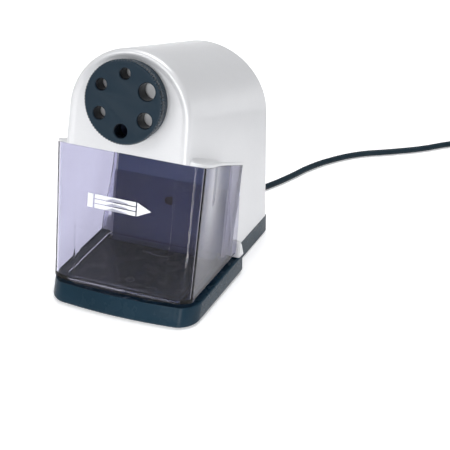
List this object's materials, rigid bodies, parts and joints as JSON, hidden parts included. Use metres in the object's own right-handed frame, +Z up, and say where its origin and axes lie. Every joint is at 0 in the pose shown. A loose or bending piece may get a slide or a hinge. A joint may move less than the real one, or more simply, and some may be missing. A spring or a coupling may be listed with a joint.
{
  "type": "electric pencil sharpener",
  "caption": "Desktop electric pencil sharpener with a rotating hole-size dial, a clear shavings drawer and a mains lead.",
  "frame": {"origin": "centre of the footprint, on the surface that the rubber feet rest on", "axes": "+Z up, the dial and the drawer face -Y, the lead leaves towards +Y"},
  "size_m": [0.3011, 0.3699, 0.1758],
  "materials": {
    "housing_silver": "satin silver-grey moulding",
    "base_charcoal": "satin blue-black moulding",
    "drawer_smoke": "clear smoke-tinted polystyrene",
    "dial_blue_black": "satin, fine ribs on the rim",
    "inner_dark": "dark moulding",
    "gear_nylon": "natural nylon",
    "steel": "bright steel",
    "cutter_steel": "ground tool steel",
    "laminations": "stacked motor laminations",
    "winding": "taped copper winding",
    "bronze": "sintered bronze",
    "spring_brass": "spring strip",
    "switch_black": "moulded switch body",
    "plunger_red": "acetal",
    "block_white": "moulded block",
    "foot_rubber": "soft rubber",
    "cord_rubber": "flexible lead jacket",
    "tie_black": "nylon strap",
    "blade_nickel": "plated blade"
  },
  "bodies": {
    "frame": {"base": "base_charcoal", "housing": "housing_silver", "chassis": "inner_dark", "dial_bush": "gear_nylon", "detent_spring": "spring_brass", "pencil_guide": "inner_dark", "ring_gear": "gear_nylon", "gear_plate": "steel", "shaft_bushes": "bronze", "idler_axle": "steel", "motor_core": "laminations", "motor_coil": "winding", "motor_brackets": "steel", "motor_bushes": "bronze", "motor_screws": "steel", "thermal_cutout": "block_white", "start_switch": "switch_black", "lever_pin": "steel", "drawer_switch": "switch_black", "terminal_block": "block_white", "base_screws": "steel", "rubber_feet": "foot_rubber", "strain_relief": "cord_rubber", "cord": "cord_rubber", "cord_tail": "cord_rubber", "cord_coil": "cord_rubber", "cord_tie": "tie_black", "plug_body": "cord_rubber", "plug_pins": "blade_nickel"},
    "dial": {"dial": "dial_blue_black", "dial_washer": "steel", "dial_screw": "steel"},
    "drawer": {"drawer": "drawer_smoke"},
    "rotor": {"rotor": "laminations", "rotor_shaft": "steel", "motor_pinion": "bronze", "motor_fan": "gear_nylon"},
    "idler": {"idler_gear": "gear_nylon"},
    "carrier": {"cutter_carrier": "steel", "carrier_gear": "gear_nylon", "cutter_pins": "steel"},
    "upper_cutter": {"cutter_upper": "cutter_steel"},
    "lower_cutter": {"cutter_lower": "cutter_steel"},
    "start_lever": {"start_lever": "steel"},
    "switch_plunger": {"switch_plunger": "plunger_red"}
  },
  "joints": [
    {"name": "dial_turn", "type": "hinge", "parent": "frame", "child": "dial", "pos_m": [0, -0.0447, 0.1448], "axis": [0, -0.9715, 0.2368], "continuous": true},
    {"name": "drawer_slide", "type": "slide", "parent": "frame", "child": "drawer", "axis": [0, -1, 0], "range_m": [0, 0.11]},
    {"name": "rotor_spin", "type": "hinge", "parent": "frame", "child": "rotor", "pos_m": [0.00301, 0.04329, 0.08353], "axis": [0, -0.9715, 0.2368], "continuous": true},
    {"name": "idler_spin", "type": "hinge", "parent": "frame", "child": "idler", "pos_m": [0.01733, 0.01607, 0.09851], "axis": [0, -0.9715, 0.2368], "continuous": true},
    {"name": "carrier_spin", "type": "hinge", "parent": "frame", "child": "carrier", "pos_m": [0, -0.00049, 0.11503], "axis": [0, -0.9715, 0.2368], "continuous": true},
    {"name": "upper_cutter_spin", "type": "hinge", "parent": "carrier", "child": "upper_cutter", "pos_m": [0, -0.00188, 0.12008], "axis": [0, -0.9135, 0.4067], "continuous": true},
    {"name": "lower_cutter_spin", "type": "hinge", "parent": "carrier", "child": "lower_cutter", "pos_m": [0, -0.00404, 0.11119], "axis": [0, -0.9982, 0.0593], "continuous": true},
    {"name": "start_lever_tilt", "type": "hinge", "parent": "frame", "child": "start_lever", "pos_m": [0, -0.03307, 0.14608], "axis": [1, 0, 0], "range_deg": [0, 12], "stiffness_Nm_per_rad": 0.01, "springref_deg": -2.86},
    {"name": "plunger_slide", "type": "slide", "parent": "frame", "child": "switch_plunger", "axis": [0, -0.9715, 0.2368], "range_m": [0, 0.003]}
  ],
  "couplings": [
    {"joint": "idler_spin", "follows": "rotor_spin", "ratio": -0.30556},
    {"joint": "carrier_spin", "follows": "rotor_spin", "ratio": 0.093364},
    {"joint": "upper_cutter_spin", "follows": "rotor_spin", "ratio": -0.29877},
    {"joint": "lower_cutter_spin", "follows": "rotor_spin", "ratio": -0.29877},
    {"joint": "plunger_slide", "follows": "drawer_slide", "ratio": 0.027273}
  ]
}
